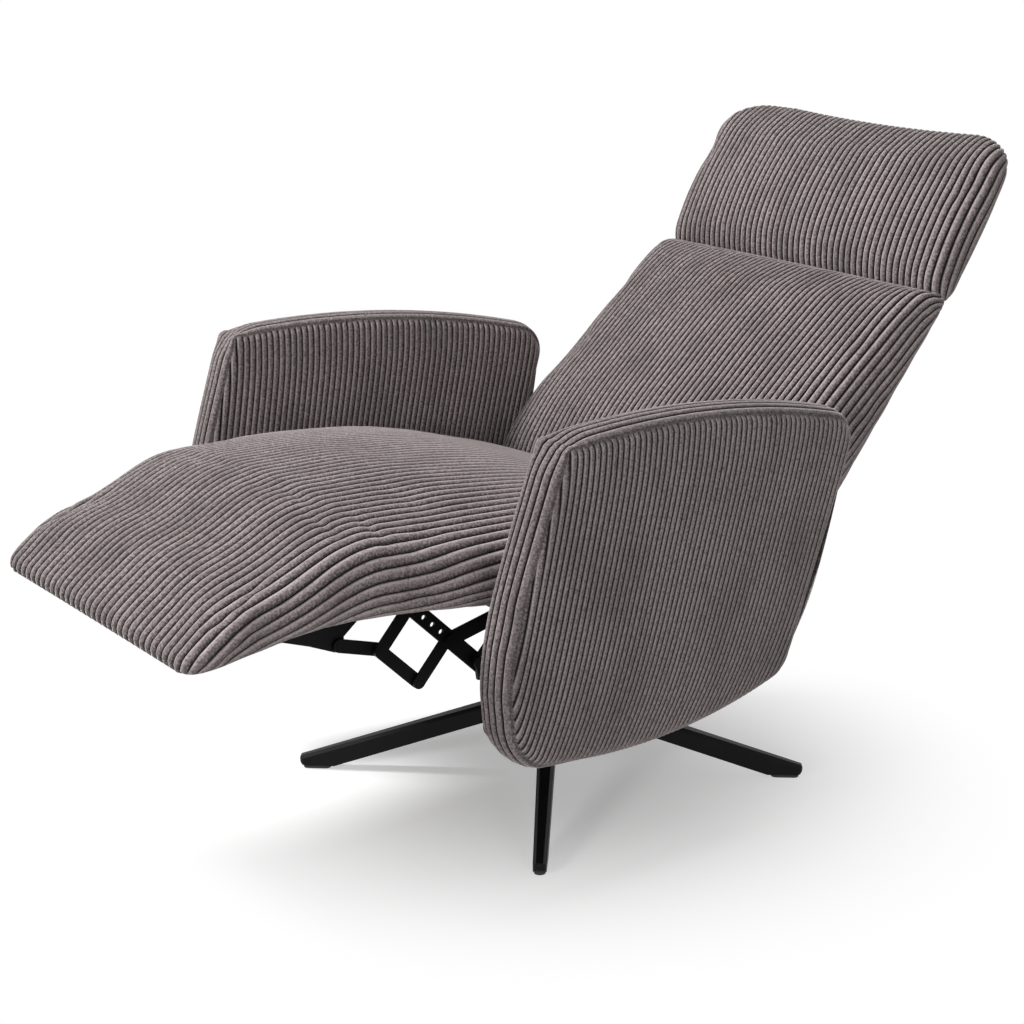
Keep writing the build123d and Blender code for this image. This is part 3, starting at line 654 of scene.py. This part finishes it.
front_top = (-2.8, 9)
top_front = (9, -0.1)
top_rear = (431.2, 32.6)
rear_top = (458.2, 80.8)
rear_low = (382.5, 320.5)
low_rear = (352.3, 350.3)
low_front = (-14, 362)
front_low = (-60, 300)
front_heights = [0, 50, 100, 150, 195, 240, 275, 300]
front_bow = [0, -16, -32, -47, -58, -63.5, -64, -60]
front_down = np.linspace(front_low[1], front_top[1], 44, endpoint=False)
front_along = through(front_heights, front_bow, front_down)
arm_edge = np.concatenate([
    arc(front_top, (-1.6, 2), top_front, 4),
    arc(top_front, (217, -2.1), top_rear, 58),
    arc(top_rear, (455.1, 50.9), rear_top, 18),
    np.linspace(rear_top, rear_low, 24, endpoint=False),
    arc(rear_low, (371.1, 339.2), low_rear, 16),
    arc(low_rear, (165, 380), low_front, 48),
    arc(low_front, (-44, 340), front_low, 18),
    np.stack([front_along, front_down], -1),
])
edge_next = np.roll(arm_edge, -1, axis=0)
edge_run = edge_next - arm_edge
edge_number = np.arange(len(arm_edge))
# Which stretches of the outline are rolled over, and which show no wales, by its points' numbers.
rolled_at = [0, 62, 72, 80, 102, 142, 160, 172, len(arm_edge)]
rolled_by = [0, 0, 0.5, 1, 1, 1, 0.5, 0, 0]
wales_at = [0, 102, 114, 124, 158, 170, len(arm_edge)]
wales_by = [1, 1, 1, 0, 0, 1, 1]
rolled = through(rolled_at, rolled_by, edge_number).clip(0, 1)


def from_edge(places, chunk=4000):
    """How far inside the arm's outline places lie, how much its edge is rolled there, and the
    number of the nearest point of the outline."""
    far = np.empty(len(places))
    roll = np.empty(len(places))
    number = np.empty(len(places))
    for k in range(0, len(places), chunk):
        gap = places[k:k + chunk, None] - arm_edge[None]
        share = np.clip((gap * edge_run).sum(-1) / (edge_run**2).sum(-1), 0, 1)
        off = np.linalg.norm(gap - share[..., None] * edge_run, axis=-1)
        best = off.argmin(1)
        row = np.arange(len(best))
        far[k:k + chunk] = off[row, best]
        part = share[row, best]
        roll[k:k + chunk] = rolled[best] * (1 - part) + np.roll(rolled, -1)[best] * part
        number[k:k + chunk] = best + part
    return far, roll, number


def panel_depth(places):
    """How deep an arm panel lies below its flat plane, where it dips to the seam or rolls over at
    a free edge."""
    far, roll, _ = from_edge(places)
    seam = SEAM_DIP * np.exp(-((far / SEAM_WIDTH) ** 2)) + SEAM_FALL * np.exp(-far / SEAM_REACH)
    rest = np.clip(ROLL - far, 0, ROLL)
    turned = ROLL - np.sqrt(ROLL**2 - rest**2) + ROLL_FALL * np.exp(-far / ROLL_REACH)
    return (1 - roll) * seam + roll * turned


# The wales' lines lean back by these degrees at these distances down the panel.
lean_at = np.array([0, 30, 60, 100, 200, 240, 290, 340, 380])
lean_by = np.array([3.0, 4.0, 9.0, 11.0, 12.0, 13.5, 17.5, 24.0, 26.0])
drop = np.linspace(-12, 392, 405)
slide = np.cumsum(np.tan(np.radians(np.interp(drop, lean_at, lean_by))))
slide -= np.interp(0, drop, slide)
wale_at = (wale_places(ARM_WALES, 7) - WALES_AHEAD) * ARM_WALE
turn_back = 1 + 0.35 * np.clip((wale_at - 150) / 280, -0.3, 1)
lines = np.stack(np.broadcast_arrays(
    wale_at[:, None] - slide[None] * turn_back[:, None], drop[None]), -1)


def inside(places):
    """Whether places lie inside the arm's outline."""
    hit = np.zeros(len(places), bool)
    for (ax, ay), (bx, by) in zip(arm_edge, edge_next):
        cross = (ay > places[:, 1]) != (by > places[:, 1])
        if ay != by:
            hit ^= cross & (places[:, 0] < (bx - ax) * (places[:, 1] - ay) / (by - ay) + ax)
    return hit


within = inside(lines.reshape(-1, 2)).reshape(lines.shape[:2])
long_enough = within.sum(1) > 3
within = within[long_enough]
wale_at = wale_at[long_enough]
turn_back = turn_back[long_enough]


def cross_edge(outer, inner):
    """Where each wale's line meets the outline, between a place outside it and one inside it."""
    for _ in range(14):
        middle = (outer + inner) / 2
        spot = np.stack([wale_at - np.interp(middle, drop, slide) * turn_back, middle], -1)
        hit = inside(spot)
        outer = np.where(hit, outer, middle)
        inner = np.where(hit, middle, inner)
    return (outer + inner) / 2


def around(table):
    """The points round the edge of a panel, in order."""
    return np.concatenate([table[:, 0], table[-1, 1:], table[-2::-1, -1], table[0, -2::-1]])


spread = np.linspace(0, 1, PANEL_ROWS)
spread = 0.55 * spread + 0.45 * (0.5 - 0.5 * np.cos(np.pi * spread))
first_inside = within.argmax(1)
last_inside = within.shape[1] - 1 - within[:, ::-1].argmax(1)
wale_top = cross_edge(drop[first_inside] - 1.0, drop[first_inside])
wale_end = cross_edge(drop[last_inside] + 1.0, drop[last_inside])
panel_down = wale_top[:, None] + (wale_end - wale_top)[:, None] * spread
panel_along = wale_at[:, None] - np.interp(panel_down, drop, slide) * turn_back[:, None]
panel_uv = np.stack([panel_along, panel_down], -1)
flat_uv = panel_uv.reshape(-1, 2)
panel_in = panel_depth(flat_uv)
slope_u, slope_d = (
    (panel_depth(flat_uv + step) - panel_depth(flat_uv - step)) / (2 * SLOPE_STEP)
    for step in np.eye(2) * SLOPE_STEP
)
panel_far, panel_roll, _ = from_edge(flat_uv)
panel_phase = np.repeat(wale_at / ARM_WALE, PANEL_ROWS)
turned_over = panel_roll * np.exp(-((panel_far / 9) ** 2))
# The arms' narrow wales get more painted groove shade.
panel_painted_shading = painted_wale_shading(panel_phase) * (0.85, 1)
panel_painted_shading = panel_painted_shading + turned_over[:, None] * (PLAIN_PAINTED_SHADING - panel_painted_shading)
panel_lift = ARM_WALE_HEIGHT * wale(panel_phase) * (1 - np.exp(-panel_far / 3.0)) * (1 - turned_over)
panel_normal = np.stack([slope_u, slope_d, -np.ones_like(slope_u)], -1)
panel_normal /= np.linalg.norm(panel_normal, axis=1, keepdims=True)
panel_local = np.column_stack([flat_uv, panel_in]) + panel_normal * panel_lift[:, None]
panel_local = panel_local.reshape(len(wale_at), PANEL_ROWS, 3)
panel_painted_shading = panel_painted_shading.reshape(len(wale_at), PANEL_ROWS, 2)
inner_local = panel_local * (1, 1, -1) + (0, 0, ARM_THICK)

ring_local = around(panel_local)
ring_uv = around(panel_uv)
_, ring_roll, ring_number = from_edge(ring_uv)
edge_normal = np.stack([edge_run[:, 1], -edge_run[:, 0]], -1)
edge_normal /= np.linalg.norm(edge_normal, axis=1, keepdims=True)
edge_normal = edge_normal + np.roll(edge_normal, 1, axis=0)
edge_normal /= np.linalg.norm(edge_normal, axis=1, keepdims=True)
low = np.floor(ring_number).astype(int) % len(arm_edge)
part = (ring_number - np.floor(ring_number))[:, None]
ring_normal = edge_normal[low] * (1 - part) + edge_normal[(low + 1) % len(arm_edge)] * part

band_place = wale_places(BAND_WALES, 9) / BAND_WALES
band_rim = np.minimum(band_place, 1 - band_place)
wales_shown = through(wales_at, wales_by, ring_number).clip(0, 1)[:, None]
band_wale_painted_shading = painted_wale_shading(band_place * BAND_WALES)
# Less painted groove shade on the outer half wale beside each of the band's seams.
at_seam = band_rim * BAND_WALES < 0.5
band_wale_painted_shading[at_seam, 0] = np.maximum(band_wale_painted_shading[at_seam, 0], SEAM_GROOVE_SHADE_LIMIT)
band_painted_shading = band_wale_painted_shading[None] * wales_shown[..., None]
band_painted_shading = band_painted_shading + (1 - wales_shown[..., None]) * PLAIN_PAINTED_SHADING
band_depth = ring_local[:, 2:3] + (ARM_THICK - 2 * ring_local[:, 2:3]) * band_place
crown = BAND_CROWN * (1 - np.abs(2 * band_place - 1) ** 2.4)
corner_near = np.clip(1 - np.linalg.norm(ring_uv, axis=1) / CORNER_SIZE, 0, 1)
corner_round = 1 - 1.7 * corner_near**2
band_wale = BAND_WALE_HEIGHT * wale(band_place * BAND_WALES)
band_out = ((1 - ring_roll) * corner_round)[:, None] * crown[None] + band_wale[None] * wales_shown
band_out *= np.minimum(1, band_rim * BAND_EDGE)[None]
band_uv = ring_uv[:, None] + ring_normal[:, None] * band_out[..., None]
band_uv[:, 0] = ring_local[:, :2]
band_uv[:, -1] = ring_local[:, :2]
band_local = np.concatenate([band_uv, band_depth[..., None]], -1)


def arm_place(local, side):
    """Places on an arm, from along, down and in, to the chair's frame; the arms mirror each other."""
    spot = arm_corner + local[..., :1] * arm_u + local[..., 1:2] * arm_down + local[..., 2:3] * arm_in
    return spot * (side, 1, 1)


for side, label in ((1, "left"), (-1, "right")):
    arm = sew(
        "arm_" + label,
        [
            (arm_place(panel_local, side), panel_painted_shading, 0),
            (arm_place(inner_local, side), panel_painted_shading, 0),
            # The band's painted flank light is weakened, and runs the other way on the left arm.
            (arm_place(band_local, side), band_painted_shading * (1, -0.4 * side), 0),
        ],
        [],
        [cord.material],
    )
    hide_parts("arm_upholstery_" + label)
    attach(arm, "chassis")

# Backrest cushion: foam on webbing, its corduroy cover drawn round the sides to a flat rear panel,
# with wales up the back and over the roll of its top edge into the pinched seam under the headrest.
BACK_WALE = 10.1
BACK_WALE_HEIGHT = 4.0
BACK_TILT = 51
REAR_WALE_HEIGHT = 1.6
REAR_COLUMNS = 6
REAR_END_ROWS = 6
REAR_ROUND = 25
SEAM_PULL = 2.5


def upright(points, pivot, tilt):
    """Turns rows laid out as (across, along, off the plane) into a tilted frame about its pivot."""
    c = math.cos(math.radians(tilt))
    s = math.sin(math.radians(tilt))
    return np.stack([
        points[..., 0], pivot[0] + points[..., 1] * c - points[..., 2] * s,
        pivot[1] + points[..., 1] * s + points[..., 2] * c,
    ], -1)


def rear_panel(points, pitch, bulge):
    """A corduroy panel across the rear of a cushion, between the two edges of its cover, and its
    painted groove shade and flank light."""
    left = points[:, 0]
    right = points[:, -1]
    width = np.linalg.norm(right - left, axis=1).max()
    count = int(width / pitch)
    place = wale_places(count, REAR_COLUMNS) / count
    share = place[None, :, None]
    net = left[:, None] * (1 - share) + right[:, None] * share
    from_end = np.minimum(np.arange(len(points)), np.arange(len(points))[::-1])
    ends = np.minimum(1, from_end / REAR_END_ROWS)[:, None]
    rim = np.minimum(place, 1 - place)[None] * width
    ribs = REAR_WALE_HEIGHT * wale(place * count)[None] * (1 - np.exp(-rim / WALE_END))
    out = ends * (bulge * (1 - np.exp(-rim / REAR_ROUND)) + ribs)
    net[..., 2] -= out - SEAM_PULL * ends * np.exp(-((rim - 6) / 4) ** 2)
    net[:, 0] = left
    net[:, -1] = right
    return net, painted_wale_shading(place * count)[None]


back_pivot = (140.0, 352.0)
back_stations = [
    (-52.5, 237, -9, -7, 0.2, 0.4), (-51.5, 242, -20, 12, 2, 6), (-33, 257, -39, 36, 4, 12),
    (2, 265, -54, 46, 4.5, 14), (60, 269, -57.5, 49, 10, 16), (180, 268, -57.5, 32, 16, 16),
    (276, 265, -57.5, 14, 18, 14), (338, 263.5, -57, 1, 15, 12), (358, 263.5, -56, -5, 12, 11),
    (370, 263, -55, -11, 9, 8), (378, 262, -53, -20, 5, 5), (383, 261, -51, -29, 2, 3),
    (387, 260, -49, -34, 0.5, 1), (388, 259, -48, -39, 0.3, 0.5), (387, 259, -47, -45, 0.2, 0.3),
]
back, back_girth = cover(back_stations, step=4.6, rounding=10.0)
back_middle = np.array([0, 170, -10])
back = back + swell(back, pressure=4.0, most=5.0)
back_points, back_painted_shading = corduroy(back, back_girth, BACK_WALE, BACK_WALE_HEIGHT, back_middle)
back_rear, back_rear_painted_shading = rear_panel(back_points, BACK_WALE, bulge=2.0)
back_cushion = sew(
    "backrest_cushion",
    [
        (upright(back_points, back_pivot, BACK_TILT), back_painted_shading, 0),
        (upright(back_rear, back_pivot, BACK_TILT), back_rear_painted_shading, 0),
    ],
    [((0, 0), (1, 0), 0), ((0, -1), (1, -1), 0)],
    [cord.material],
)
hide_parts("back_cushion", "back_rear_panel")
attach(back_cushion, "backrest")

# Headrest cushion: a flatter pad in the same corduroy on a wooden board, with rounded upper corners
# and a top edge that dips in the middle. On the chair it tilts on two ratchet hinges behind the
# pinched seam, and the lower edge of its cover is held to the back there; this mesh is fixed in
# place.
HEAD_WALE = 10.9
HEAD_WALE_HEIGHT = 4.2
HEAD_TILT = 59.1
HEAD_DIP = 7.0
HEAD_SHEAR = 5.0
head_pivot = (410.895, 629.323)
head_stations = [
    (-1.5, 252, -9, -7, 0.2, 0.3), (-2, 254, -14, 0, 0.6, 1), (0, 256, -19, 4, 1.5, 4),
    (5, 258, -23, 9, 3, 7), (15, 261, -26, 14, 6, 10), (45, 264, -26, 19, 10, 12),
    (80, 265, -26, 21, 12, 12), (140, 265, -26, 18, 12, 12), (184, 261, -26, 14, 8, 11),
    (204, 250, -25, 5, 5, 8), (217, 230, -23, -4, 3, 5), (223.5, 210, -19, -12, 1, 2),
    (223.5, 203, -17, -15, 0.2, 0.4),
]
head, head_girth = cover(head_stations, step=3.6, rounding=8.0)
head_middle = np.array([0, 110, -5])
head = head + swell(head, pressure=4.0, most=4.0)
dip = ramp(head[..., 1], 90, 220) ** 1.5
head[..., 0] -= HEAD_SHEAR * ramp(head[..., 1], 140, 220) ** 2
head[..., 1] -= HEAD_DIP * dip * np.clip(1 - ((head[..., 0] - 50) / 200) ** 2, 0, 1)
head_points, head_painted_shading = corduroy(head, head_girth, HEAD_WALE, HEAD_WALE_HEIGHT, head_middle)
head_rear, head_rear_painted_shading = rear_panel(head_points, HEAD_WALE, bulge=1.5)
head_cushion = sew(
    "headrest_cushion",
    [
        (upright(head_points, head_pivot, HEAD_TILT), head_painted_shading, 0),
        (upright(head_rear, head_pivot, HEAD_TILT), head_rear_painted_shading, 0),
    ],
    [((0, 0), (1, 0), 0), ((0, -1), (1, -1), 0)],
    [cord.material],
)
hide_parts("head_cushion", "head_rear_panel")
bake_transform(head_cushion)

# Studio: a pale floor that keeps the shadow near the chair and fades to white, a white surround,
# four soft round lamps, and the camera that the photo was taken with.
FLOOR_SIZE = 40
FLOOR_GREY = (0.8, 0.8, 0.8, 1)
FLOOR_FADE = (0.1, 0.64)
WHITE = (1, 1, 1, 1)
CAMERA_PLACE = (2.31457, -1.70520, 1.17212)
CAMERA_TARGET = (-0.0863, 0, 0.3349)
CAMERA_LENS = 82.27
CAMERA_FILM = 36


def seen_directly(tree):
    """1 for a ray from the camera, by way of a mirror or glass too, and 0 for all other light."""
    rays = tree.nodes.new("ShaderNodeLightPath")
    seen = Socket(tree, rays.outputs["Is Camera Ray"])
    for kind in ("Is Glossy Ray", "Is Transmission Ray"):
        seen = seen.maths("MAXIMUM", seen, Socket(tree, rays.outputs[kind]))
    return seen


def turned_to(place, target):
    """How a lamp or camera at a place is turned to look at a target."""
    aim = [t - p for t, p in zip(target, place)]
    flat = math.hypot(aim[0], aim[1])
    return math.atan2(flat, -aim[2]), 0, math.atan2(aim[1], aim[0]) - math.pi / 2


bpy.ops.object.select_all(action="DESELECT")
bpy.ops.mesh.primitive_plane_add(size=FLOOR_SIZE, location=(0, 0, 0))
floor = bpy.context.object
floor.name = "studio_floor"
floor_finish = bpy.data.materials.new("studio_floor_white")
floor_finish.use_nodes = True
floor_tree = floor_finish.node_tree
floor_tree.nodes.clear()
paint = Socket(floor_tree)
matt = paint.node("ShaderNodeBsdfDiffuse", {}, {"Color": FLOOR_GREY})
ray = seen_directly(floor_tree)
near_glow = paint.node("ShaderNodeEmission", {}, {"Color": WHITE, "Strength": ray * 0.3})
far_glow = paint.node("ShaderNodeEmission", {}, {"Color": WHITE, "Strength": ray * 0.55 + 0.45})
spot = paint.node("ShaderNodeTexCoord", {}, {}, "Object")
away = paint.node("ShaderNodeVectorMath", {"operation": "LENGTH"}, {0: spot}, "Value")
fade = paint.node(
    "ShaderNodeMapRange", {"interpolation_type": "SMOOTHSTEP"},
    {"Value": away, "From Min": FLOOR_FADE[0], "From Max": FLOOR_FADE[1]},
)
near = paint.node("ShaderNodeAddShader", {}, {0: matt, 1: near_glow})
both = paint.node("ShaderNodeMixShader", {}, {0: fade, 1: near, 2: far_glow})
surface = floor_tree.nodes.new("ShaderNodeOutputMaterial")
floor_tree.links.new(both.socket, surface.inputs["Surface"])
floor.data.materials.append(floor_finish)

world = bpy.data.worlds.new("studio")
bpy.context.scene.world = world
world.use_nodes = True
background = next(n for n in world.node_tree.nodes if n.type == "BACKGROUND")
background.inputs["Color"].default_value = WHITE
sky = seen_directly(world.node_tree) * 0.8 + 0.2
world.node_tree.links.new(sky.socket, background.inputs["Strength"])


def lamp(name, place, target, size, power):
    """A round soft lamp, its size in metres and its power in watts."""
    bpy.ops.object.light_add(type="AREA", location=place)
    made = bpy.context.object
    made.name = name
    made.data.shape = "DISK"
    made.data.size = size
    made.data.energy = power
    made.rotation_euler = turned_to(place, target)


lamp("key", (-1.9, -1.7, 3.2), (0, -0.1, 0.4), size=1.0, power=155)
lamp("top", (0.2, 0.0, 3.4), (0, 0, 0.3), size=2.0, power=30)
lamp("fill", (1.0, -3.4, 1.2), (0, 0, 0.4), size=0.8, power=36)
lamp("side", (3.0, -0.9, 0.45), (0.4, 0, 0.35), size=1.0, power=16)

bpy.ops.object.camera_add(location=CAMERA_PLACE)
camera = bpy.context.object
camera.rotation_euler = turned_to(camera.location, CAMERA_TARGET)
camera.data.lens = CAMERA_LENS
camera.data.sensor_width = CAMERA_FILM
bpy.context.scene.camera = camera
bpy.context.scene.view_settings.view_transform = "Standard"
